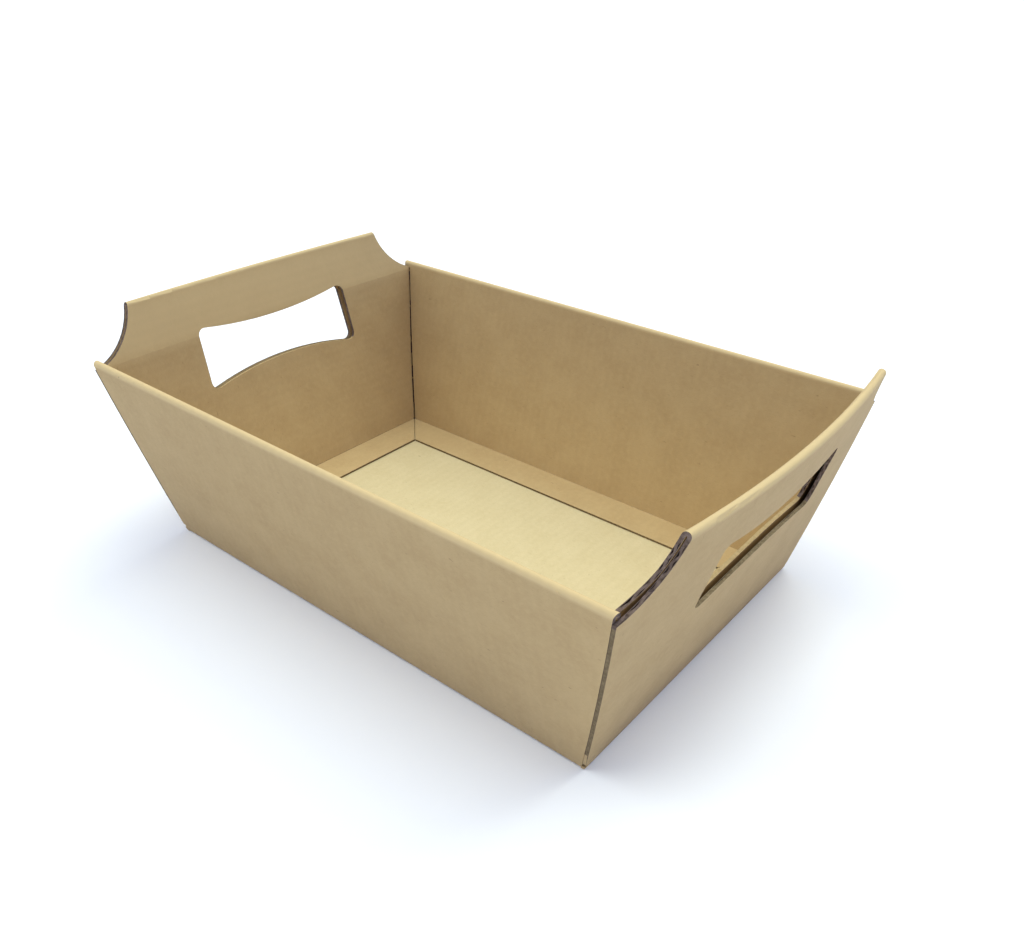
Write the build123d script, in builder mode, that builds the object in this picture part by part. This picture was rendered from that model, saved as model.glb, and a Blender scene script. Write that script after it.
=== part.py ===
from build123d import *
from math import asin, cos, degrees, radians, sin, tan
import os

# A tray box with raised hand-hole ends, folded and glued from one die-cut sheet of kraft
# corrugated board. Millimetres, X along the long walls, Y along the ends, Z up, with the
# origin on the table under the middle of the base.

# Base and walls, to the outer faces. The ends rise above the long walls, and bow outwards,
# most at the middle of their crest.
base_length = 330.0
base_width = 220.0
side_height = 124.0
end_rise = 25.2
side_lean = 12.2
end_lean = 12.5
end_bow = 11.0

# The sheet and its folds
board = 2.0
fold_radius = 2.5
foot_radius = 0.6
corner_radius = 2.5
layer_clearance = 0.15

# Long double walls: how far apart the two layers stand at the top roll and at the foot
side_gap = 0.7
side_foot_gap = 2.9

# Double ends: the layers stand a tab apart up to a crease in the inner one, and from there
# they close in on each other towards the crest
crest_gap = 0.7
crease_drop = 6.0

# Flanges that lie on the base
flange_width = 25.0
mitre_gap = 0.8
crushed_edge = 0.6
crushed_width = 2.0

# Raised ends: the raised stretch and the hand hole stand a little towards +Y. A scallop runs
# from each end of the raised stretch down to the corner, below the top of the long wall.
raised_width = 209.0
raised_offset = 2.0
scallop_depth = 7.2
corner_drop = 6.5
hole_width = 128.0
hole_offset = 1.5
hole_below_crest = 26.2
hole_height = 43.0
hole_waist_top = 6.0
hole_waist_bottom = 8.0
hole_side_slant = 1.5
hole_corner = 5.0

# Corners: the tabs behind the end panels, and the clearances of the cut edges
tab_length = 42.0
tab_margin = 8.0
tab_taper = 10.0
edge_clearance = 0.5
corner_slit = 1.1

# How far the cutting shapes reach past what they cut
overrun = 12.0

# Worked out from the sizes above
end_height = side_height + end_rise
end_gap = board + 2 * layer_clearance
end_thickness = 2 * board + end_gap
crest_thickness = 2 * board + crest_gap
side_thickness = 2 * board + side_gap
flange_bottom = board + layer_clearance
flange_top = flange_bottom + board
half_length = base_length / 2
half_width = base_width / 2
side_angle = radians(side_lean)
end_angle = radians(end_lean)
base_edge_x = half_length - fold_radius
base_edge_y = half_width - fold_radius
top_half_width = half_width + side_height * tan(side_angle)
cut_reach = end_thickness + end_bow + overrun
wall_reach = half_width + (end_height + cut_reach) * tan(side_angle)
down = Vector(0, -1)


class FoldedWall:
    """A double wall in section, with u outwards and v upwards: the sheet rises from the base
    fold at u = half, rolls over at the top and comes down to a flange on the base."""

    def __init__(self, half, angle, roll_height, thickness, foot_gap):
        self.half = half
        self.angle = angle
        self.up = Vector(sin(angle), cos(angle))
        self.out = Vector(cos(angle), -sin(angle))
        self.fold_centre = self.inside_face(fold_radius, fold_radius)
        self.foot_centre = self.inside_face(2 * board + foot_gap + foot_radius, flange_top + foot_radius)
        self.foot = (self.foot_centre + self.out * foot_radius).X
        self.roll_radius = thickness / 2
        self.roll_centre = self.inside_face(self.roll_radius, roll_height)

    def inside_face(self, depth, height):
        """The point at a height that lies so deep inside the flat outer face."""
        return Vector(self.half + height * tan(self.angle) - depth / cos(self.angle), height)

    def level(self, point):
        """How far up the slope of the wall a point of the section lies."""
        return (point - Vector(self.half, 0)).dot(self.up)

    def draw_bend(self, centre, outside, directions):
        """A bend of the sheet round a centre, from the first direction to the last."""
        faces = []
        for radius in (outside, outside - board):
            first, middle, last = [centre + direction * radius for direction in directions]
            faces.append(ThreePointArc(first, middle, last))
        for end in (0, 1):
            Line(faces[0] @ end, faces[1] @ end)

    def draw_fold(self, centre, outside):
        """A fold from the level up into the slope of the wall."""
        self.draw_bend(centre, outside, (down, (down + self.out).normalized(), self.out))

    def draw_roll(self, bow=0):
        """The half round over the top of the wall, where the wall is bowed out so far."""
        centre = self.roll_centre + self.out * bow
        self.draw_bend(centre, self.roll_radius, (self.out, self.up, -self.out))

    def draw_base_edge(self, base_edge):
        """The last of the flat base, up to its fold."""
        start = self.fold_centre + down * fold_radius
        Polyline((base_edge, 0), start, start - down * board, (base_edge, board), close=True)

    def draw_flange(self):
        """The flange, lying on the base, with its cut edge crushed thinner on top."""
        root = self.foot_centre + down * foot_radius
        edge = self.foot - flange_width
        Polyline(
            root,
            (edge + crushed_width, flange_top),
            (edge, flange_top - crushed_edge),
            (edge, flange_bottom),
            root + down * board,
            close=True,
        )

    def draw_panel(self, foot_centre, foot_outside, side):
        """A flat panel of the sheet, from the outside of its lower fold to the roll."""
        low = foot_centre + self.out * foot_outside
        high = self.roll_centre + self.out * (side * self.roll_radius)
        if side < 0:
            high = high + self.out * board
        Polyline(low, high, high - self.out * board, low - self.out * board, close=True)

    def inner_face(self, inset):
        """The plane of the wall's inner face, moved inwards, for a wall that rises towards +Y."""
        foot = self.foot_centre + self.out * foot_radius
        top = self.roll_centre - self.out * self.roll_radius
        rise = (top - foot).normalized()
        face = Plane(origin=(0, foot.X, foot.Y), x_dir=(1, 0, 0), z_dir=(0, rise.Y, -rise.X))
        return face.offset(-inset)


side_section = FoldedWall(
    half_width, side_angle, side_height - side_thickness / 2, side_thickness, side_foot_gap
)
end_section = FoldedWall(
    half_length,
    end_angle,
    end_height - crest_thickness / 2 + end_bow * sin(end_angle),
    crest_thickness,
    end_gap,
)
side_foot = side_section.foot
end_foot = end_section.foot
side_plane = Plane(
    origin=(0, half_width, 0),
    x_dir=(1, 0, 0),
    z_dir=(0, cos(side_angle), -sin(side_angle)),
)
end_plane = Plane(
    origin=(half_length, 0, 0),
    x_dir=(0, 1, 0),
    z_dir=(cos(end_angle), 0, -sin(end_angle)),
)

# Levels up the slope of an end
outer_start = end_section.level(end_section.fold_centre)
inner_start = end_section.level(end_section.foot_centre)
roll_level = end_section.level(end_section.roll_centre)
shoulder_level = side_height / cos(end_angle)
crown_level = roll_level + end_section.roll_radius
crease_level = shoulder_level - crease_drop


def across_end(level):
    """The plane across an end at a level up its slope, with x outwards and y along the end."""
    point = Vector(half_length, 0) + end_section.up * level
    return Plane(
        origin=(point.X, 0, point.Y),
        x_dir=(end_section.out.X, 0, end_section.out.Y),
        z_dir=(end_section.up.X, 0, end_section.up.Y),
    )


def bow_radius(level):
    """The radius that the outer face of an end is bowed to at a level."""
    bow = end_bow * (level - outer_start) / (roll_level - outer_start)
    return (top_half_width**2 + bow**2) / (2 * bow)


def bow_arc(level, depth):
    """The line that a depth inside the outer face follows across a bowed end, at a level."""
    radius = bow_radius(level) - depth
    bow = end_bow * (level - outer_start) / (roll_level - outer_start)
    centre = bow - bow_radius(level)
    corner = centre + (radius**2 - wall_reach**2) ** 0.5
    return ThreePointArc((corner, -wall_reach), (centre + radius, 0), (corner, wall_reach))


def bowed_panel(foot_level, stations):
    """A panel of an end, one board thick: straight along its fold at the foot, and bowed at
    each station above it, given as its level and its depth inside the outer face."""
    foot_depth = stations[0][1]
    with BuildPart() as panel:
        with BuildSketch(across_end(foot_level)):
            with Locations((-foot_depth - board / 2, 0)):
                Rectangle(board, 2 * wall_reach)
        for place, (level, depth) in enumerate(stations):
            with BuildSketch(across_end(level)) as section:
                with BuildLine():
                    outside = bow_arc(level, depth)
                    inside = bow_arc(level, depth + board)
                    Line(outside @ 0, inside @ 0)
                    Line(outside @ 1, inside @ 1)
                make_face()
            loft()
            if place < len(stations) - 1:
                add(section.sketch)
    return panel.part


def inside_end(depth):
    """What lies deeper than a depth inside the bowed outer face of the end, from below the
    base up to above the crest, past the middle of the tray."""
    lowest = -half_length * tan(end_angle) - overrun
    with BuildPart() as body:
        for level in (lowest, crown_level + overrun):
            bow = end_bow * (level - outer_start) / (roll_level - outer_start)
            middle = bow - depth
            corner = middle - bow * (wall_reach / top_half_width) ** 2
            with BuildSketch(across_end(level)):
                with BuildLine():
                    ThreePointArc((corner, -wall_reach), (middle, 0), (corner, wall_reach))
                    Polyline(
                        (corner, wall_reach),
                        (-base_length, wall_reach),
                        (-base_length, -wall_reach),
                        (corner, -wall_reach),
                    )
                make_face()
        loft()
    return body.part


def shoulder_waste(raised_edge):
    """What is cut away beside a raised end, on its +Y side: a scallop down to the corner."""
    crest_end = Vector(raised_edge, crown_level)
    corner = Vector(top_half_width, shoulder_level - corner_drop)
    chord = corner - crest_end
    hollow = Vector(chord.Y, -chord.X).normalized() * scallop_depth
    with BuildPart() as waste:
        with BuildSketch(end_plane):
            with BuildLine():
                ThreePointArc(crest_end, (crest_end + corner) / 2 + hollow, corner)
                Polyline(
                    corner,
                    (wall_reach + overrun, corner.Y),
                    (wall_reach + overrun, crown_level + overrun),
                    (raised_edge, crown_level + overrun),
                    crest_end,
                )
            make_face()
        extrude(amount=cut_reach, both=True)
    return waste.part


# The hand hole: long edges that curve in to a waist between sides that spread downwards
with BuildPart() as hand_hole:
    with BuildSketch(end_plane) as hole_outline:
        top_level = (end_height - hole_below_crest) / cos(end_angle)
        bottom_level = top_level - hole_height / cos(end_angle)
        bottom_half = hole_width / 2
        top_half = bottom_half - hole_side_slant
        with BuildLine():
            top = ThreePointArc(
                (hole_offset - top_half, top_level),
                (hole_offset, top_level - hole_waist_top),
                (hole_offset + top_half, top_level),
            )
            bottom = ThreePointArc(
                (hole_offset - bottom_half, bottom_level),
                (hole_offset, bottom_level + hole_waist_bottom),
                (hole_offset + bottom_half, bottom_level),
            )
            Line(top @ 0, bottom @ 0)
            Line(top @ 1, bottom @ 1)
        make_face()
        fillet(hole_outline.vertices(), radius=hole_corner)
    extrude(amount=cut_reach, both=True)

# The roll over the crest of a raised end, turned round the centre of its bow
with BuildPart() as crest_roll:
    with BuildSketch(Plane.XZ) as roll_outline:
        with BuildLine():
            end_section.draw_roll(end_bow)
        make_face()
    crest_radius = bow_radius(roll_level)
    inwards = end_section.out * (crest_radius - end_bow - end_section.roll_radius)
    bow_centre = end_section.roll_centre - inwards
    revolve(
        axis=Axis((bow_centre.X, 0, bow_centre.Y), (end_section.up.X, 0, end_section.up.Y)),
        revolution_arc=degrees(asin((raised_width / 2 + raised_offset + overrun) / crest_radius)),
    )
    mirror(about=Plane.XZ)

# The floor that belongs to the flange of a long wall, up to the mitres at its two ends
with BuildPart() as side_floor:
    with BuildSketch(Plane.XY.offset(board + layer_clearance / 2)):
        with BuildLine():
            Polyline(
                (end_foot + overrun, side_foot + overrun - mitre_gap / 2),
                (0, side_foot - end_foot - mitre_gap / 2),
                (-end_foot - overrun, side_foot + overrun - mitre_gap / 2),
                close=True,
            )
        make_face()
    extrude(amount=board + foot_radius)

# The floor that belongs to the flange of an end, up to the same mitres
with BuildPart() as end_floor:
    with BuildSketch(Plane.XY.offset(board + layer_clearance / 2)):
        with BuildLine():
            Polyline(
                (end_foot + overrun, side_foot + overrun + mitre_gap / 2),
                (end_foot - side_foot, mitre_gap / 2),
                (end_foot - side_foot, -overrun),
                (end_foot + overrun, -overrun),
                close=True,
            )
        make_face()
    extrude(amount=board + foot_radius)

# The inner layer of an end stops short of the inner faces of the long walls
with BuildPart() as inner_layer_sides:
    add(inside_end(board + end_gap / 2))
    split(bisect_by=side_section.inner_face(edge_clearance), keep=Keep.TOP)
    mirror(about=Plane.XZ)

# One raised end: outer panel, roll, inner panel and flange, with both layers cut together
with BuildPart() as end_wall:
    with BuildSketch(Plane.XZ):
        with BuildLine():
            end_section.draw_base_edge(base_edge_x)
        make_face()
        with BuildLine():
            end_section.draw_fold(end_section.fold_centre, fold_radius)
        make_face()
        with BuildLine():
            end_section.draw_fold(end_section.foot_centre, foot_radius + board)
        make_face()
        with BuildLine():
            end_section.draw_flange()
        make_face()
    extrude(amount=wall_reach, both=True)
    add(bowed_panel(outer_start, [(roll_level, 0)]))
    inner_depth = board + end_gap
    add(bowed_panel(inner_start, [(crease_level, inner_depth), (roll_level, board + crest_gap)]))
    add(crest_roll.part)
    split(bisect_by=side_plane.offset(-layer_clearance), keep=Keep.BOTTOM)
    mirror(about=Plane.XZ, mode=Mode.INTERSECT)
    add(shoulder_waste(raised_width / 2 + raised_offset), mode=Mode.SUBTRACT)
    add(shoulder_waste(raised_width / 2 - raised_offset).mirror(Plane.XZ), mode=Mode.SUBTRACT)
    add(hand_hole.part, mode=Mode.SUBTRACT)
    add(inner_layer_sides.part, mode=Mode.SUBTRACT)
    add(side_floor.part, mode=Mode.SUBTRACT)
    add(side_floor.part.mirror(Plane.XZ), mode=Mode.SUBTRACT)

# The corner that the long wall's outer panel and its tabs fold round, outside and inside
with BuildPart() as corner_outside:
    add(inside_end(board + layer_clearance))
    split(bisect_by=side_plane, keep=Keep.BOTTOM)
    fillet(corner_outside.edges().sort_by(Axis((0, 0, 0), (1, 1, 0)))[-1], radius=corner_radius)

with BuildPart() as corner_inside:
    add(inside_end(2 * board + layer_clearance))
    split(bisect_by=side_plane.offset(-board), keep=Keep.BOTTOM)
    fillet(corner_inside.edges().sort_by(Axis((0, 0, 0), (1, 1, 0)))[-1], radius=corner_radius - board)

# The tab that is glued behind the outer end panel, narrower towards its free edge
with BuildPart() as tab:
    with BuildSketch(end_plane):
        with BuildLine():
            Polyline(
                (wall_reach, fold_radius),
                (half_width, fold_radius),
                (half_width - tab_length, fold_radius + tab_taper),
                (top_half_width - tab_length, shoulder_level - tab_margin - tab_taper),
                (top_half_width, shoulder_level - tab_margin),
                (wall_reach, shoulder_level - tab_margin),
                close=True,
            )
        make_face()
    extrude(amount=cut_reach, both=True)
    add(corner_outside.part, mode=Mode.INTERSECT)
    add(corner_inside.part, mode=Mode.SUBTRACT)

# The inner layer of a long wall stops short of the inner face of the end, below its roll
with BuildPart() as inner_layer_end:
    with BuildSketch(Plane.YZ):
        roll_inner_edge = side_section.roll_centre - side_section.out * (side_section.roll_radius - board)
        notch_top = roll_inner_edge - side_section.up * board
        with BuildLine():
            Polyline(
                notch_top,
                notch_top + side_section.out * (side_gap / 2),
                (half_width - side_gap, board + layer_clearance / 2),
                (0, board + layer_clearance / 2),
                notch_top - Vector(overrun, 0),
                close=True,
            )
        make_face()
    extrude(amount=base_length)
    add(inside_end(end_thickness + corner_slit), mode=Mode.SUBTRACT)

# One long wall with its tabs, made as half and mirrored
with BuildPart() as side_wall:
    with BuildSketch(Plane.YZ):
        with BuildLine():
            side_section.draw_base_edge(base_edge_y)
        make_face()
        with BuildLine():
            side_section.draw_fold(side_section.fold_centre, fold_radius)
        make_face()
        with BuildLine():
            side_section.draw_panel(side_section.fold_centre, fold_radius, 1)
        make_face()
        with BuildLine():
            side_section.draw_roll()
        make_face()
        with BuildLine():
            side_section.draw_panel(side_section.foot_centre, foot_radius + board, -1)
        make_face()
        with BuildLine():
            side_section.draw_fold(side_section.foot_centre, foot_radius + board)
        make_face()
        with BuildLine():
            side_section.draw_flange()
        make_face()
    extrude(amount=base_length)
    add(corner_outside.part, mode=Mode.INTERSECT)
    add(end_floor.part, mode=Mode.SUBTRACT)
    add(inner_layer_end.part, mode=Mode.SUBTRACT)
    add(tab.part)
    mirror(about=Plane.YZ)

# The whole folded sheet
with BuildPart() as folded_tray:
    with BuildSketch():
        Rectangle(2 * base_edge_x, 2 * base_edge_y)
    extrude(amount=board)
    add(side_wall.part)
    add(side_wall.part.mirror(Plane.XZ))
    add(end_wall.part)
    add(end_wall.part.mirror(Plane.YZ))
folded_tray.part.label = "folded_tray"

os.makedirs("parts", exist_ok=True)
export_step(folded_tray.part, "parts/folded_tray.step")
print("folded_tray", folded_tray.part.is_valid, round(folded_tray.part.volume / 1000, 1), "cm3")
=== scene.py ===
# A kraft cardboard tray box on a white studio floor. Metres, in the frame of the CAD part:
# X along the long walls, Y along the raised ends, Z up from the table.
import bisect
import math

import bmesh
import bpy
from mathutils import Matrix, Vector, noise


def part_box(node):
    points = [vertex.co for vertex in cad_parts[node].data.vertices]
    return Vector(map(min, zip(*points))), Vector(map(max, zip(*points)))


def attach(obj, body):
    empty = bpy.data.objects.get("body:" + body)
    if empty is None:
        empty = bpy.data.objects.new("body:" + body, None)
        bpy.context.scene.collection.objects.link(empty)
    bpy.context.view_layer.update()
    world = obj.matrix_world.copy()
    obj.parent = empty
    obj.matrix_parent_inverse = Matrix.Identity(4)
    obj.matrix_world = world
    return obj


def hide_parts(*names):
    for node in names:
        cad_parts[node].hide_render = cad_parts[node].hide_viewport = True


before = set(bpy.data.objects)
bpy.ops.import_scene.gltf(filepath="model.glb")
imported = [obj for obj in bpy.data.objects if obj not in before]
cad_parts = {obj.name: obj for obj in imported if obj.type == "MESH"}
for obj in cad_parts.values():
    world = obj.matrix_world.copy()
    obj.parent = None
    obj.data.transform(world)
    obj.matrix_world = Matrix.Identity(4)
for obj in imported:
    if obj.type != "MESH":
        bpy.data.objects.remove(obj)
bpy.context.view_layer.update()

MM = 0.001

# The folded sheet, as the part has it
HALF_LENGTH = 165.0 * MM
HALF_WIDTH = 110.0 * MM
SIDE_HEIGHT = 124.0 * MM
END_HEIGHT = 149.2 * MM
SIDE_LEAN = math.radians(12.2)
END_LEAN = math.radians(12.5)
END_BOW = 11.0 * MM
BOARD = 2.0 * MM
FOLD = 2.5 * MM
ROLL = 2.35 * MM
INNER_LAYER = 4.3 * MM
INNER_LAYER_AT_CREST = 2.7 * MM
LAYER_CLEARANCE = 0.15 * MM
SIDE_FOOT = 103.9 * MM
END_FOOT = 159.6 * MM
# How much the two layers of a long wall close in on each other for each step up towards the roll
SIDE_CLOSING = 0.0182

# The cut outline of a raised end. The crest and the hand hole stand a little towards +Y.
CREST_END = {1: 106.5 * MM, -1: 102.5 * MM}
SCALLOP_DEPTH = 7.2 * MM
CORNER_DROP = 6.5 * MM
CREASE_DROP = 6.0 * MM
HOLE_MIDDLE = 1.5 * MM
HOLE_BELOW_CREST = 26.2 * MM
HOLE_HEIGHT = 43.0 * MM
HOLE_HALF_BOTTOM = 64.0 * MM
HOLE_HALF_TOP = 62.5 * MM
HOLE_CORNER = 5.0 * MM
HOLE_WAIST_TOP = 6.0 * MM
HOLE_WAIST_BOTTOM = 8.0 * MM

# Levels up the slope of the walls, worked out from the sizes above
HALF_TOP = HALF_WIDTH + SIDE_HEIGHT * math.tan(SIDE_LEAN)
SHOULDER_LEVEL = SIDE_HEIGHT / math.cos(END_LEAN)
CORNER_LEVEL = SHOULDER_LEVEL - CORNER_DROP
CREASE_LEVEL = SHOULDER_LEVEL - CREASE_DROP
ROLL_HEIGHT = END_HEIGHT - ROLL + END_BOW * math.sin(END_LEAN)
END_ROLL_LEVEL = ROLL_HEIGHT / math.cos(END_LEAN) - ROLL * math.tan(END_LEAN)
SIDE_ROLL_LEVEL = (SIDE_HEIGHT - ROLL) / math.cos(SIDE_LEAN) - ROLL * math.tan(SIDE_LEAN)
CREST_LEVEL = END_ROLL_LEVEL + ROLL
HOLE_TOP = (END_HEIGHT - HOLE_BELOW_CREST) / math.cos(END_LEAN)
HOLE_BOTTOM = HOLE_TOP - HOLE_HEIGHT / math.cos(END_LEAN)

# Corrugated board: the flutes' pitch, and the paper and the wave between the two liners, drawn
# a little thicker than real paper so that they show
FLUTE_PITCH = 6.35 * MM
PAPER = 0.3 * MM
FLUTE_HEIGHT = BOARD - 3 * PAPER
FLUTE_CUT = 1.5 * MM
FLUTE_HALF_MOUTH = 0.36 * FLUTE_PITCH

# The hand of a folded sheet: how far the walls swell between their folds, evenly and by turns,
# and how far the inner layer of an end springs off at its crease
END_SWELL = 0.3 * MM
END_WAVE = 0.9 * MM
SIDE_SWELL = 0.7 * MM
SIDE_WAVE = 1.1 * MM
WAVE_SIZE = 110 * MM
CORNER_SWELL = 1.0 * MM
CORNER_REACH = 45 * MM
LEFT_SPRING = 1.5 * MM
LEFT_SPRING_GROWTH = 1.2 * MM
RIGHT_SPRING = 0.4 * MM
SPRING_REACH = 70 * MM

# How finely the sheet is cut, and how close to a form a point counts as on it
FACE_STEP = 12 * MM
FACE_STEP_UP = 10 * MM
SIDE_RIM_STEP = 1.2 * MM
SIDE_RIM_STEP_ACROSS = 0.5 * MM
END_RIM_STRIPS = 12
CUT_TOLERANCE = 0.01 * MM
LAYER_TOLERANCE = 0.1 * MM
FORM_TOLERANCE = 0.25 * MM

# Camera: where it stands, what way it looks, and how far it is rolled
CAMERA_PLACE = Vector((342.9, -389.6, 356.4)) * MM
CAMERA_AZIMUTH = math.radians(38.92)
CAMERA_ELEVATION = math.radians(29.79)
CAMERA_ROLL = math.radians(0.735)
CAMERA_LENS = 33.39

# The places of the sheet's finishes in its list of materials
LINER, BASE_LINER, CUT_EDGE, STRAIGHT_EDGE, HOLE_LIP, FLUTE = range(6)


def linear(hex_colour):
    """An sRGB hex colour as linear red, green, blue and alpha."""
    channels = [int(hex_colour[place : place + 2], 16) / 255 for place in (1, 3, 5)]
    return [c / 12.92 if c <= 0.04045 else ((c + 0.055) / 1.055) ** 2.4 for c in channels] + [1.0]


def add_node(material, kind, inputs=None, **settings):
    """Adds a node with its settings, and gives each input a value or a link."""
    tree = material.node_tree
    node = tree.nodes.new("ShaderNode" + kind)
    for name, value in settings.items():
        setattr(node, name, value)
    for name, value in (inputs or {}).items():
        if isinstance(value, bpy.types.NodeSocket):
            tree.links.new(value, node.inputs[name])
        else:
            node.inputs[name].default_value = value
    return node


def new_material(name):
    """An empty material and its output node."""
    material = bpy.data.materials.new(name)
    material.use_nodes = True
    material.node_tree.nodes.clear()
    return material, add_node(material, "OutputMaterial")


def scale_for(size):
    """The texture scale at which a pattern repeats about every size metres."""
    return 1.0 / size


def band(material, value, start, stop, soft, share):
    """A share between two places of the flat sheet that fades to nothing beyond them."""
    off = add_node(material, "Math", {0: value, 1: (start + stop) / 2}, operation="SUBTRACT")
    away = add_node(material, "Math", {0: off.outputs["Value"]}, operation="ABSOLUTE")
    half = (stop - start) / 2
    inside = add_node(
        material,
        "MapRange",
        {"Value": away.outputs["Value"], "From Min": half + soft, "From Max": half - soft, "To Max": share},
    )
    return inside.outputs["Result"]


def rim_wear_and_painted_light(material, sheet):
    """How much of the paler colour shows at a place of the flat sheet: all of it on the rolled rims,
    where it is stretched paper and a painted highlight, and more than half of it from there to the
    crease of an end's inner layer, where it is painted light on the panel above the crease."""
    place = add_node(material, "SeparateXYZ", {"Vector": sheet})
    along = add_node(material, "Math", {0: place.outputs["X"]}, operation="ABSOLUTE").outputs["Value"]
    across = add_node(material, "Math", {0: place.outputs["Y"]}, operation="ABSOLUTE").outputs["Value"]
    end_rim = HALF_LENGTH + END_ROLL_LEVEL
    end_rim_stop = end_rim + math.pi * ROLL
    side_rim = HALF_WIDTH + SIDE_ROLL_LEVEL
    crease = end_rim_stop + END_ROLL_LEVEL - CREASE_LEVEL
    # On the rolled rims the paler colour is stretched paper and a painted highlight; from the rim down to
    # the crease of an end's inner layer it is painted light
    shares = (
        band(material, along, end_rim, end_rim_stop, 1.0 * MM, 1.0),
        band(material, across, side_rim, side_rim + math.pi * ROLL, 1.0 * MM, 1.0),
        band(material, along, end_rim_stop, crease, 5 * MM, 0.65),
    )
    rims = add_node(material, "Math", {0: shares[0], 1: shares[1]}, operation="MAXIMUM").outputs["Value"]
    return add_node(material, "Math", {0: rims, 1: shares[2]}, operation="MAXIMUM").outputs["Value"]


def liner(name, body_colour, cloud_colour, fibre_colour, pale_and_lit_colour, flute_shade, flute_depth):
    """Kraft linerboard: brown unbleached paper, pressed smooth and glued on the flutes. The eye
    sees a matt, faintly cloudy brown with short fibres along the sheet, a few dark shives, faint
    stripes of painted shade where the flutes show through, a paler colour on the rolled rims,
    where a fold stretches the paper and a highlight is painted, and painted light on the inner
    layer of an end above its crease."""
    material, output = new_material(name)
    sheet = add_node(material, "UVMap", uv_map="sheet").outputs["UV"]
    along = add_node(material, "Mapping", {"Vector": sheet, "Scale": (0.3, 1.0, 1.0)}).outputs["Vector"]
    # Paper forms unevenly, in clouds of a few centimetres and flocs of a few millimetres
    cloud = add_node(
        material, "TexNoise", {"Vector": sheet, "Scale": scale_for(22 * MM), "Detail": 4.0, "Roughness": 0.6}
    )
    blotch = add_node(material, "TexNoise", {"Vector": sheet, "Scale": scale_for(3.5 * MM), "Detail": 2.0})
    # Real fibres are 0.03 mm wide, so they are drawn in bundles of 0.5 mm to show at all
    fibre = add_node(
        material,
        "TexNoise",
        {"Vector": along, "Scale": scale_for(0.5 * MM), "Detail": 3.0, "Distortion": 1.0},
    )
    shive = add_node(
        material,
        "TexNoise",
        {"Vector": along, "Scale": scale_for(1.2 * MM), "Detail": 1.0, "Distortion": 0.6},
    )
    colour = linear(body_colour)
    for pattern, start, full, share, tint in (
        (cloud, 0.35, 0.7, 0.7, cloud_colour),
        (blotch, 0.45, 0.75, 0.5, cloud_colour),
        (fibre, 0.5, 0.8, 0.4, fibre_colour),
        (shive, 0.74, 0.82, 0.4, "#6f5230"),
    ):
        amount = add_node(
            material,
            "MapRange",
            {"Value": pattern.outputs["Fac"], "From Min": start, "From Max": full, "To Max": share},
        )
        mixed = add_node(
            material,
            "Mix",
            {"Factor": amount.outputs["Result"], 6: colour, 7: linear(tint)},
            data_type="RGBA",
        )
        colour = mixed.outputs[2]
    # The paler colour: stretched paper and a painted highlight on the rims, painted light on an end's inner
    # layer above its crease
    worn_and_lit = add_node(
        material,
        "Mix",
        {"Factor": rim_wear_and_painted_light(material, sheet), 6: colour, 7: linear(pale_and_lit_colour)},
        data_type="RGBA",
    )
    # The wave texture repeats every tenth of pi, so this brings one band to each flute
    flute = add_node(
        material,
        "TexWave",
        {"Vector": sheet, "Scale": math.pi / 10 / FLUTE_PITCH},
        wave_type="BANDS",
        bands_direction="X",
    )
    # The stripes are painted shade of the washboard's ridges, added to their bump
    stripe = add_node(
        material,
        "MapRange",
        {"Value": flute.outputs["Fac"], "To Min": 1.0 - flute_shade, "To Max": 1.0},
    )
    striped = add_node(
        material,
        "Mix",
        {"Factor": 1.0, 6: worn_and_lit.outputs[2], 7: stripe.outputs["Result"]},
        data_type="RGBA",
        blend_type="MULTIPLY",
    )
    washboard = add_node(material, "Bump", {"Height": flute.outputs["Fac"], "Distance": flute_depth})
    grain = add_node(
        material,
        "Bump",
        {"Height": blotch.outputs["Fac"], "Distance": 0.06 * MM, "Normal": washboard.outputs["Normal"]},
    )
    fuzz = add_node(
        material,
        "Bump",
        {"Height": fibre.outputs["Fac"], "Distance": 0.02 * MM, "Normal": grain.outputs["Normal"]},
    )
    shader = add_node(
        material,
        "BsdfPrincipled",
        {
            "Base Color": striped.outputs[2],
            "Roughness": 0.8,
            "IOR": 1.5,
            "Specular IOR Level": 0.3,
            "Normal": fuzz.outputs["Normal"],
        },
    )
    material.node_tree.links.new(shader.outputs["BSDF"], output.inputs["Surface"])
    return material


def rough_paper(name, dark_colour, light_colour, patch, torn_depth):
    """Cut or bare board: torn paper fibres without the liner's pressed skin, so the eye sees a
    dull, blotchy brown. On the cut edges and in the flutes' hollows its colours are darker than the
    faces of the sheet, partly the bare paper's own colour and partly painted shade of the open flutes."""
    material, output = new_material(name)
    place = add_node(material, "TexCoord").outputs["Object"]
    fuzz = add_node(
        material, "TexNoise", {"Vector": place, "Scale": scale_for(patch), "Detail": 4.0, "Roughness": 0.7}
    )
    tone = add_node(material, "MapRange", {"Value": fuzz.outputs["Fac"], "From Min": 0.35, "From Max": 0.65})
    colour = add_node(
        material,
        "Mix",
        {"Factor": tone.outputs["Result"], 6: linear(dark_colour), 7: linear(light_colour)},
        data_type="RGBA",
    )
    torn = add_node(material, "Bump", {"Height": fuzz.outputs["Fac"], "Distance": torn_depth})
    shader = add_node(
        material,
        "BsdfPrincipled",
        {
            "Base Color": colour.outputs[2],
            "Roughness": 0.95,
            "Specular IOR Level": 0.2,
            "Normal": torn.outputs["Normal"],
        },
    )
    material.node_tree.links.new(shader.outputs["BSDF"], output.inputs["Surface"])
    return material


def white_floor():
    """A seamless studio floor of matt white paper, a little cool."""
    material, output = new_material("studio_floor")
    shader = add_node(
        material,
        "BsdfPrincipled",
        {"Base Color": linear("#f5f5f9"), "Roughness": 0.9, "Specular IOR Level": 0.1},
    )
    material.node_tree.links.new(shader.outputs["BSDF"], output.inputs["Surface"])
    return material


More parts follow.
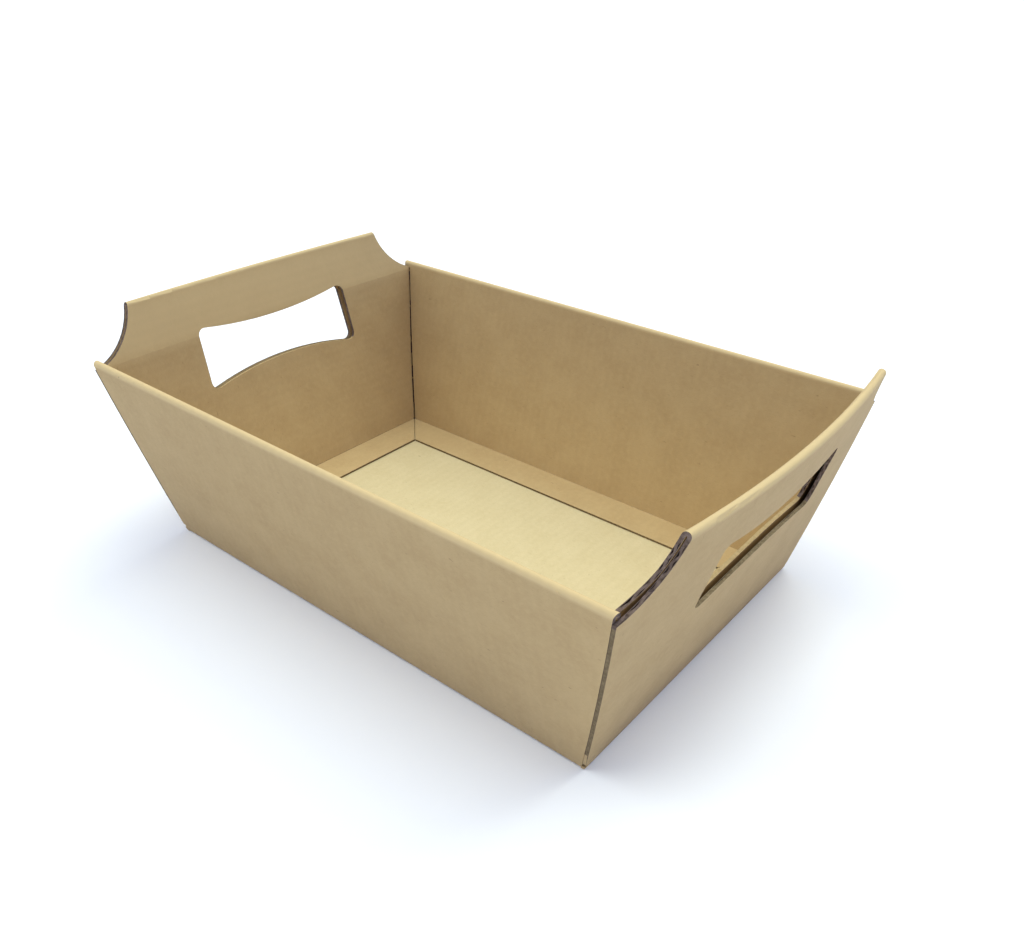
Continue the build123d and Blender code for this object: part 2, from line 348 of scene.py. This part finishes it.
def bow_at(across, level):
    """How far an end stands out of its flat plane, at a place across it and a level up it."""
    share = (min(level, END_ROLL_LEVEL) - FOLD) / (END_ROLL_LEVEL - FOLD)
    return END_BOW * max(0.0, share) * (1.0 - (across / HALF_TOP) ** 2)


def end_depth(point):
    """How deep a point lies inside the bowed outer face of the nearer end, and its level."""
    out = abs(point.x) - HALF_LENGTH
    level = out * math.sin(END_LEAN) + point.z * math.cos(END_LEAN)
    away = out * math.cos(END_LEAN) - point.z * math.sin(END_LEAN)
    return bow_at(point.y, level) - away, level


def side_depth(point):
    """How deep a point lies inside the outer face of the nearer long wall, and its level."""
    out = abs(point.y) - HALF_WIDTH
    level = out * math.sin(SIDE_LEAN) + point.z * math.cos(SIDE_LEAN)
    return point.z * math.sin(SIDE_LEAN) - out * math.cos(SIDE_LEAN), level


def on_end(side, across, level, depth):
    """The point of an end at a place across it, a level up it and a depth inside it."""
    away = bow_at(across, level) - depth
    out = HALF_LENGTH + level * math.sin(END_LEAN) + away * math.cos(END_LEAN)
    return Vector((side * out, across, level * math.cos(END_LEAN) - away * math.sin(END_LEAN)))


def inner_layer(level):
    """How deep the outside of an end's inner layer lies at a level: it closes in from its crease."""
    share = max(0.0, (level - CREASE_LEVEL) / (END_ROLL_LEVEL - CREASE_LEVEL))
    return INNER_LAYER + share * (INNER_LAYER_AT_CREST - INNER_LAYER)


def side_inner_face(level):
    """How deep the inside of a long wall lies at a level: its two layers close in to the roll."""
    return 2 * ROLL + SIDE_CLOSING * max(0.0, SIDE_ROLL_LEVEL - level)


def arc_crossing(start, middle, finish, level):
    """Where an arc through three points of an end's plane crosses a level, or None: its centre's
    place across, the reach from there, and how far the arc moves across for each step of level."""
    chords = (middle - start, finish - start)
    turn = 2 * (chords[0].x * chords[1].y - chords[0].y * chords[1].x)
    squares = [chord.length_squared for chord in chords]
    centre = start + Vector(
        (
            (chords[1].y * squares[0] - chords[0].y * squares[1]) / turn,
            (chords[0].x * squares[1] - chords[1].x * squares[0]) / turn,
        )
    )
    radius = (start - centre).length
    rise = level - centre.y
    if abs(rise) > 0.999 * radius:
        return None
    reach = math.sqrt(radius**2 - rise**2)
    return centre.x, reach, abs(rise) / reach


def corner_edge(level, depth):
    """Where an end's outer layer stops, flush with the outer face of the long wall."""
    height = level * math.cos(END_LEAN) + depth * math.sin(END_LEAN)
    return HALF_WIDTH + height * math.tan(SIDE_LEAN) - LAYER_CLEARANCE / math.cos(SIDE_LEAN)


def scallop_edge(sign, level):
    """Where the scallop beside a raised end crosses a level, and how aslant it is there."""
    top = Vector((CREST_END[sign], CREST_LEVEL))
    corner = Vector((HALF_TOP, CORNER_LEVEL))
    chord = corner - top
    hollow = Vector((chord.y, -chord.x)).normalized() * SCALLOP_DEPTH
    middle, reach, slant = arc_crossing(top, (top + corner) / 2 + hollow, corner, level)
    return middle - reach, slant


def open_edges(level, outer):
    """Where the cut outline of an end crosses a flute at a level: the place across, the side
    that the board lies on, how aslant the cut is, and how open the flute still is there."""
    for sign in (1, -1):
        if CORNER_LEVEL + BOARD / 2 < level < END_ROLL_LEVEL - BOARD:
            across, slant = scallop_edge(sign, level)
            if outer or across < corner_edge(level, INNER_LAYER) - 3 * BOARD:
                yield sign * across, -sign, slant, 1.0
        if HOLE_BOTTOM + HOLE_CORNER < level < HOLE_TOP - HOLE_CORNER:
            share = (level - HOLE_BOTTOM) / (HOLE_TOP - HOLE_BOTTOM)
            half = HOLE_HALF_BOTTOM + share * (HOLE_HALF_TOP - HOLE_HALF_BOTTOM)
            yield HOLE_MIDDLE + sign * half, sign, 0.0, 1.0
        for half, edge, waist in (
            (HOLE_HALF_BOTTOM, HOLE_BOTTOM, HOLE_WAIST_BOTTOM),
            (HOLE_HALF_TOP, HOLE_TOP, -HOLE_WAIST_TOP),
        ):
            if not outer or not 0.1 < (level - edge) / waist < 0.95:
                continue
            arc = (Vector((-half, edge)), Vector((0.0, edge + waist)), Vector((half, edge)))
            middle, reach, slant = arc_crossing(*arc, level)
            if reach < half - 2 * HOLE_CORNER:
                yield HOLE_MIDDLE + sign * reach, -sign, min(slant, 4.0), 0.6


def flute_mouth():
    """One hollow between the wave and a liner, one unit long and high and two wide: flat on the
    liner and bell-shaped under the wave."""
    mouth = bmesh.new()
    bmesh.ops.create_circle(mouth, cap_ends=True, segments=12, radius=1.0)
    for vert in mouth.verts:
        vert.co.y = (1.0 + math.cos(math.pi * vert.co.x)) / 2 if vert.co.y > 0.01 else 0.0
    far = bmesh.ops.extrude_face_region(mouth, geom=mouth.faces[:])["geom"]
    far_verts = [item for item in far if isinstance(item, bmesh.types.BMVert)]
    bmesh.ops.translate(mouth, verts=far_verts, vec=(0.0, 0.0, 1.0))
    for face in mouth.faces:
        face.material_index = FLUTE
    mesh = bpy.data.meshes.new("flute_mouth")
    mouth.to_mesh(mesh)
    mouth.free()
    return mesh


def flute_mouths():
    """The flutes' hollows, as thin cutters that reach into the board from each cut edge of the
    two ends, set by turns on one liner and the other, and each pressed a little differently."""
    mouth = flute_mouth()
    mouths = bmesh.new()
    step = 0.1 * MM
    for side in (1, -1):
        for count in range(1, int(2 * CREST_LEVEL / FLUTE_PITCH)):
            level = (count + 0.5) * FLUTE_PITCH / 2
            for outer in (True, False):
                layer = 0.0 if outer else inner_layer(level)
                for edge, inward, slant, opened in open_edges(level, outer):
                    hand = noise.noise(Vector((edge, level, layer)) / (3 * MM))
                    pressed = opened * max(0.2, 0.5 + 0.6 * hand)
                    half_width = FLUTE_HALF_MOUTH * min(1.0, 0.4 + 0.6 * opened)
                    aslant = 0.6 * MM + slant * half_width
                    depth = layer + (BOARD - PAPER if count % 2 else PAPER)
                    start = edge - inward * aslant
                    origin = on_end(side, start, level, depth)
                    across = on_end(side, start + step, level, depth) - origin
                    up = on_end(side, start, level + step, depth) - origin
                    deeper = on_end(side, start, level, depth + step) - origin
                    height = FLUTE_HEIGHT * pressed * (-1 if count % 2 else 1)
                    columns = (
                        up / step * half_width,
                        deeper / step * height,
                        across / step * inward * (FLUTE_CUT + 2 * aslant),
                    )
                    place = Matrix.Translation(origin) @ Matrix(columns).transposed().to_4x4()
                    known = len(mouths.verts)
                    mouths.from_mesh(mouth)
                    mouths.verts.ensure_lookup_table()
                    bmesh.ops.transform(mouths, matrix=place, verts=mouths.verts[known:])
    bmesh.ops.recalc_face_normals(mouths, faces=mouths.faces)
    bmesh.ops.triangulate(mouths, faces=mouths.faces)
    return mouths


def put_in_order(sheet):
    """Puts the sheet's vertices, edges and faces in the order of their places along a slanting
    line, because the cut of the flutes leaves them in another order on every run."""
    line = Vector((1.0, 0.618, 0.327))
    sheet.verts.sort(key=lambda vert: vert.co.dot(line))
    sheet.edges.sort(key=lambda edge: (edge.verts[0].co + edge.verts[1].co).dot(line))
    sheet.faces.sort(key=lambda face: face.calc_center_median().dot(line))


def open_flutes(sheet, finishes):
    """Cuts the mouths of the flutes into the cut edges of the sheet."""
    for face in sheet.faces:
        face.material_index = LINER
    objects = []
    for name, shape in (("whole_sheet", sheet), ("flute_mouths", flute_mouths())):
        mesh = bpy.data.meshes.new(name)
        shape.to_mesh(mesh)
        if "custom_normal" in mesh.attributes:
            mesh.attributes.remove(mesh.attributes["custom_normal"])
        for finish in finishes:
            mesh.materials.append(finish)
        item = bpy.data.objects.new(name, mesh)
        bpy.context.scene.collection.objects.link(item)
        objects.append(item)
    whole, cutters = objects
    cut = whole.modifiers.new("flute_mouths", "BOOLEAN")
    cut.operation = "DIFFERENCE"
    cut.object = cutters
    cut.solver = "MANIFOLD"
    bpy.context.view_layer.update()
    result = whole.evaluated_get(bpy.context.evaluated_depsgraph_get())
    sheet.clear()
    sheet.from_mesh(result.to_mesh())
    put_in_order(sheet)
    result.to_mesh_clear()
    for item in objects:
        mesh = item.data
        bpy.data.objects.remove(item)
        bpy.data.meshes.remove(mesh)


def slice_across(sheet, axis, places):
    """Cuts the faces of the sheet where they cross planes at places along an axis."""
    for place in places:
        normal = Vector((0.0, 0.0, 0.0))
        normal[axis] = 1.0
        bmesh.ops.bisect_plane(
            sheet,
            geom=sheet.verts[:] + sheet.edges[:] + sheet.faces[:],
            dist=CUT_TOLERANCE,
            plane_co=normal * place,
            plane_no=normal,
        )


def steps(start, stop, step):
    """Places from start to stop, evenly spaced."""
    return [start + step * count for count in range(int((stop - start) / step) + 1)]


def slice_end_rims(sheet, stations):
    """Cuts the bowed, rolled rims of the ends lengthwise between stations across them, along
    lines that follow the roll, so that it can be rounded."""
    strips = {}
    for face in sheet.faces:
        centre = face.calc_center_median()
        depth, level = end_depth(centre)
        if level > END_ROLL_LEVEL and depth < 2 * ROLL:
            strip = bisect.bisect(stations, centre.y)
            strips.setdefault((math.copysign(1, centre.x), strip), []).append(face)
    for (side, strip), faces in strips.items():
        start = on_end(side, stations[strip - 1], END_ROLL_LEVEL, ROLL)
        along = on_end(side, stations[strip], END_ROLL_LEVEL, ROLL) - start
        away = Vector((side * math.cos(END_LEAN), 0.0, -math.sin(END_LEAN)))
        upward = Vector((side * math.sin(END_LEAN), 0.0, math.cos(END_LEAN)))
        # A dictionary keeps them in the same order on every run, which a set doesn't
        edges = dict.fromkeys(edge for face in faces for edge in face.edges)
        verts = dict.fromkeys(vert for face in faces for vert in face.verts)
        geometry = faces + list(edges) + list(verts)
        for count in range(1, END_RIM_STRIPS):
            turned = math.pi * count / END_RIM_STRIPS
            radial = away * math.cos(turned) + upward * math.sin(turned)
            parts = bmesh.ops.bisect_plane(
                sheet, geom=geometry, dist=CUT_TOLERANCE, plane_co=start, plane_no=along.cross(radial)
            )
            geometry = parts["geom"]


def slice_finely(sheet):
    """Cuts the sheet into faces small enough to swell, and finer ones along the rolled rims."""
    low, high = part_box("folded_tray")
    stations = [low[1]] + steps(low[1] + 5 * MM, high[1], FACE_STEP) + [high[1]]
    slice_across(sheet, 0, steps(low[0] + 5 * MM, high[0], FACE_STEP))
    slice_across(sheet, 1, stations[1:-1])
    slice_across(sheet, 2, steps(low[2] + 4 * MM, high[2], FACE_STEP_UP))
    slice_end_rims(sheet, stations)
    side_rim = steps(high[1] - 5.5 * MM, high[1], SIDE_RIM_STEP_ACROSS)
    for side in (1, -1):
        slice_across(sheet, 1, [side * place for place in side_rim])
    slice_across(sheet, 2, steps(SIDE_HEIGHT - 6 * MM, SIDE_HEIGHT, SIDE_RIM_STEP))
    put_in_order(sheet)
    bmesh.ops.remove_doubles(sheet, verts=sheet.verts, dist=2 * CUT_TOLERANCE)


def round_rim(point):
    """Moves a point of a rolled rim onto the true round of its roll; other points stay."""
    for depth_and_level, roll_level, lean, axis in (
        (end_depth, END_ROLL_LEVEL, END_LEAN, 0),
        (side_depth, SIDE_ROLL_LEVEL, SIDE_LEAN, 1),
    ):
        depth, level = depth_and_level(point)
        radius = math.hypot(depth - ROLL, level - roll_level)
        if level > roll_level and abs(radius - ROLL) < FORM_TOLERANCE:
            grow = ROLL / radius - 1.0
            away = -(depth - ROLL) * grow
            rise = (level - roll_level) * grow
            outward = rise * math.sin(lean) + away * math.cos(lean)
            move = Vector((0.0, 0.0, rise * math.cos(lean) - away * math.sin(lean)))
            move[axis] = math.copysign(1.0, point[axis]) * outward
            return point + move
    return point


def in_inner_end(point):
    """Whether a point belongs to the inner layer of an end."""
    depth, level = end_depth(point)
    in_layer = inner_layer(level) - LAYER_TOLERANCE < depth < INNER_LAYER + 2 * BOARD
    depth_side, level_side = side_depth(point)
    return in_layer and depth_side > side_inner_face(level_side) + FORM_TOLERANCE


def sprung(point):
    """How far the inner layer of an end stands off from where it was folded: it springs off around
    its crease, most at the far side of the left end, and lies close beside the scallops."""
    on_left = point.x < 0
    level = end_depth(point)[1]
    across = point.y / HALF_TOP
    rise = (level - CREASE_LEVEL) / (END_ROLL_LEVEL - CREASE_LEVEL)
    if rise > 0.0:
        share = max(0.0, 1.0 - rise)
    else:
        share = 0.5 + 0.5 * math.cos(math.pi * min(1.0, (CREASE_LEVEL - level) / SPRING_REACH))
    spring = LEFT_SPRING + LEFT_SPRING_GROWTH * across if on_left else RIGHT_SPRING
    off = spring * share * (1.0 - across**4)
    beside_scallop = min(1.0, max(0.0, (abs(across) - 0.5) / 0.2))
    above_tab = min(1.0, max(0.0, rise) / 0.5) * max(0.0, 1.0 - max(0.0, rise) ** 4)
    slack = (inner_layer(level) - BOARD - FORM_TOLERANCE) * (0.4 if on_left else 1.0)
    return off - slack * beside_scallop * above_tab


def warp(point):
    """The slight hand of a folded sheet: each wall swells a little between its folds, most at
    the near edge of the left end, and nothing moves at the foot or the rim. The inner layer of
    an end springs off at its crease."""
    rise = min(max(point.z / SIDE_HEIGHT, 0.0), 1.0)
    height_share = math.sin(math.pi * rise)
    half_y = HALF_WIDTH + point.z * math.tan(SIDE_LEAN)
    half_x = HALF_LENGTH + point.z * math.tan(END_LEAN)
    end_share = max(0.0, 1.0 - (point.y / half_y) ** 2)
    side_share = max(0.0, 1.0 - (point.x / half_x) ** 2)
    wave = noise.noise(point / WAVE_SIZE + Vector((3.1, 7.7, 1.9)))
    end_move = (END_SWELL + END_WAVE * wave) * height_share * end_share
    side_move = (SIDE_SWELL + SIDE_WAVE * wave) * height_share * side_share
    corner = Vector((-half_x, -half_y, point.z))
    end_move += CORNER_SWELL * height_share * math.exp(-(((point - corner).length / CORNER_REACH) ** 2))
    if in_inner_end(point):
        end_move -= sprung(point)
    return Vector((math.copysign(1.0, point.x) * end_move, math.copysign(1.0, point.y) * side_move, 0.0))


def on_crease(point):
    """Whether a point lies on the crease of an end's inner layer."""
    depth, level = end_depth(point)
    return depth > INNER_LAYER_AT_CREST and abs(level - CREASE_LEVEL) < FORM_TOLERANCE


def zone_of(face):
    """The finish of a face, and the part of the flat sheet that it belongs to."""
    centre = face.calc_center_median()
    normal = face.normal
    depth_end, level_end = end_depth(centre)
    depth_side, level_side = side_depth(centre)
    if centre.z < 1.03 * BOARD and normal.z > 0.9 and abs(centre.x) < END_FOOT - 10 * BOARD:
        return BASE_LINER, "base"
    if centre.z < 2.6 * BOARD and abs(centre.x) < END_FOOT and abs(centre.y) < SIDE_FOOT:
        return (STRAIGHT_EDGE if abs(normal.z) < 0.5 else LINER), "base"
    in_outer_layer = depth_end < BOARD + LAYER_TOLERANCE
    beyond_side = in_outer_layer or level_side > SIDE_HEIGHT + 4 * BOARD
    inside_side = depth_side > side_inner_face(level_side) + LAYER_CLEARANCE
    if depth_end < INNER_LAYER + 2.1 * BOARD and (inside_side or beyond_side):
        wall = Vector((math.copysign(math.cos(END_LEAN), centre.x), 0.0, -math.sin(END_LEAN)))
        faces_out = abs(normal.dot(wall)) > 0.6
        between_scallops = abs(centre.y) < CREST_END[-1] - BOARD
        on_roll = level_end > END_ROLL_LEVEL - BOARD and (abs(normal.y) < 0.35 or between_scallops)
        on_foot = level_end < 4 * FOLD
        if faces_out or on_roll or on_foot:
            return LINER, "end"
        if abs(normal.y) < 0.6 and abs(centre.y) < HOLE_HALF_BOTTOM + 4 * BOARD:
            return (STRAIGHT_EDGE if in_outer_layer else HOLE_LIP), "end"
        on_corner = level_end < CORNER_LEVEL - BOARD and depth_side < 2 * ROLL
        return (STRAIGHT_EDGE if on_corner else CUT_EDGE), "end"
    return (CUT_EDGE if abs(normal.x) > 0.7 and level_side > 4 * FOLD else LINER), "side"


def lay_flat(point, zone):
    """Where a point lies on the flat sheet, in metres from the middle of its base: up the outer
    side of a wall, over its roll, and on along its inner side."""
    if zone == "base":
        return point.x, point.y
    if zone == "end":
        depth, level = end_depth(point)
        foot, roll_level = HALF_LENGTH, END_ROLL_LEVEL
    else:
        depth, level = side_depth(point)
        foot, roll_level = HALF_WIDTH, SIDE_ROLL_LEVEL
    turned = math.atan2(max(0.0, level - roll_level), ROLL - depth)
    below = max(0.0, roll_level - level)
    run = foot + roll_level + ROLL * turned + (below if turned > math.pi / 2 else -below)
    if zone == "end":
        return math.copysign(run, point.x), point.y
    return point.x, math.copysign(run, point.y)


def fold_tray(node, finishes):
    """The folded sheet: the part's own form with its seams merged, its flutes opened and its rims
    rounded, cut into small faces so that the walls can swell, and laid out flat for its grain."""
    sheet = bmesh.new()
    sheet.from_mesh(node.data)
    bmesh.ops.remove_doubles(sheet, verts=sheet.verts, dist=0.001 * MM)
    open_flutes(sheet, finishes)
    slice_finely(sheet)
    for vert in sheet.verts:
        vert.co = round_rim(vert.co)
    flat_place = sheet.loops.layers.uv.new("sheet")
    sheet.normal_update()
    creases = {edge for edge in sheet.edges if all(on_crease(vert.co) for vert in edge.verts)}
    for face in sheet.faces:
        finish, zone = zone_of(face)
        if face.material_index != FLUTE:
            face.material_index = finish
        face.smooth = True
        for loop in face.loops:
            loop[flat_place].uv = lay_flat(loop.vert.co, zone)
    for vert in sheet.verts:
        vert.co += warp(vert.co)
    for edge in sheet.edges:
        edge.smooth = edge.calc_face_angle(0.0) < math.radians(40) and edge not in creases
    mesh = bpy.data.meshes.new("folded_sheet")
    for finish in finishes:
        mesh.materials.append(finish)
    sheet.to_mesh(mesh)
    sheet.free()
    tray = bpy.data.objects.new("folded_sheet", mesh)
    bpy.context.scene.collection.objects.link(tray)
    weighted = tray.modifiers.new("even_faces", "WEIGHTED_NORMAL")
    weighted.keep_sharp = True
    weighted.weight = 60
    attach(tray, "root")
    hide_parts("folded_tray")


def lay_floor():
    """The floor under the tray, wide enough to reach the top of the picture."""
    surface = bmesh.new()
    bmesh.ops.create_grid(surface, x_segments=1, y_segments=1, size=15.0)
    bmesh.ops.translate(surface, verts=surface.verts, vec=(0.0, 0.0, -0.05 * MM))
    mesh = bpy.data.meshes.new("studio_floor")
    surface.to_mesh(mesh)
    surface.free()
    mesh.materials.append(white_floor())
    floor = bpy.data.objects.new("studio_floor", mesh)
    bpy.context.scene.collection.objects.link(floor)


def add_softbox(name, direction, power):
    """A wide, soft studio light that shines from a direction."""
    lamp = bpy.data.lights.new(name, "SUN")
    lamp.energy = power
    lamp.color = (0.956, 1.0, 0.826)
    lamp.angle = math.radians(50)
    light = bpy.data.objects.new(name, lamp)
    light.rotation_mode = "QUATERNION"
    light.rotation_quaternion = Vector(direction).to_track_quat("Z", "Y")
    bpy.context.scene.collection.objects.link(light)


def light_studio():
    """Soft light from above, from behind and from the left, a little fill from the camera's side,
    and a pale room, whose light fills the shadows with blue."""
    add_softbox("overhead_softbox", (0.0, 0.0, 1.0), 1.72)
    add_softbox("left_softbox", (-0.778, -0.628, 1.0), 1.36)
    add_softbox("back_softbox", (0.107, 1.0, 1.0), 1.74)
    add_softbox("front_fill", (0.628, -0.778, 1.0), 0.29)
    add_softbox("right_fill", (0.778, 0.628, 1.0), 0.38)
    world = bpy.data.worlds.new("cool_room")
    world.use_nodes = True
    world.node_tree.nodes.clear()
    fill = add_node(world, "Background", {"Color": (0.0, 0.142, 1.0, 1.0), "Strength": 0.353})
    pale_wall = add_node(world, "Background", {"Color": (1.0, 1.0, 1.0, 1.0), "Strength": 1.0})
    seen = add_node(world, "LightPath").outputs["Is Camera Ray"]
    room = add_node(world, "MixShader", {0: seen, 1: fill.outputs["Background"]})
    world.node_tree.links.new(pale_wall.outputs["Background"], room.inputs[2])
    add_node(world, "OutputWorld", {"Surface": room.outputs["Shader"]})
    bpy.context.scene.world = world
    bpy.context.scene.view_settings.view_transform = "Standard"


def place_camera():
    """The camera of the photograph, looking down on the near corner of the right-hand end."""
    toward_right = Vector((math.cos(CAMERA_AZIMUTH), math.sin(CAMERA_AZIMUTH), 0.0))
    back = Vector(
        (
            math.sin(CAMERA_AZIMUTH) * math.cos(CAMERA_ELEVATION),
            -math.cos(CAMERA_AZIMUTH) * math.cos(CAMERA_ELEVATION),
            math.sin(CAMERA_ELEVATION),
        )
    )
    upward = back.cross(toward_right)
    right = math.cos(CAMERA_ROLL) * toward_right + math.sin(CAMERA_ROLL) * upward
    up = back.cross(right)
    turn = Matrix((right, up, back)).transposed()
    view = bpy.data.cameras.new("photo_camera")
    view.lens = CAMERA_LENS
    view.sensor_width = 36.0
    view.clip_start = 0.01
    camera = bpy.data.objects.new("photo_camera", view)
    camera.matrix_world = Matrix.Translation(CAMERA_PLACE) @ turn.to_4x4()
    bpy.context.scene.collection.objects.link(camera)
    bpy.context.scene.camera = camera


# What Blender's own first scene holds isn't wanted
for spare in ("Cube", "Light", "Camera"):
    if spare in bpy.data.objects:
        bpy.data.objects.remove(bpy.data.objects[spare])

# The fourth colour of each liner is its paler colour: stretched paper and a painted highlight on the rims,
# and painted light above an end's crease
finishes = (
    liner("kraft_liner", "#bb9f71", "#c6ab7c", "#a78959", "#d2b887", 0.015, 0.02 * MM),
    liner("base_kraft_liner", "#d0bf94", "#d8c89f", "#b5a074", "#ded2ab", 0.02, 0.05 * MM),
    # Cut edges and flute hollows: darker than the liner, partly the bare paper's own colour and partly
    # painted shade of the open flutes
    rough_paper("cut_board", "#57473d", "#7d6b61", 2.2 * MM, 0.2 * MM),
    rough_paper("straight_cut_board", "#65553e", "#8a785a", 1.5 * MM, 0.1 * MM),
    rough_paper("pressed_board", "#a88d5f", "#bfa475", 2.5 * MM, 0.05 * MM),
    rough_paper("flute_paper_painted_shade", "#514238", "#705d4d", 1.5 * MM, 0.1 * MM),
)
fold_tray(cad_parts["folded_tray"], finishes)
lay_floor()
light_studio()
place_camera()
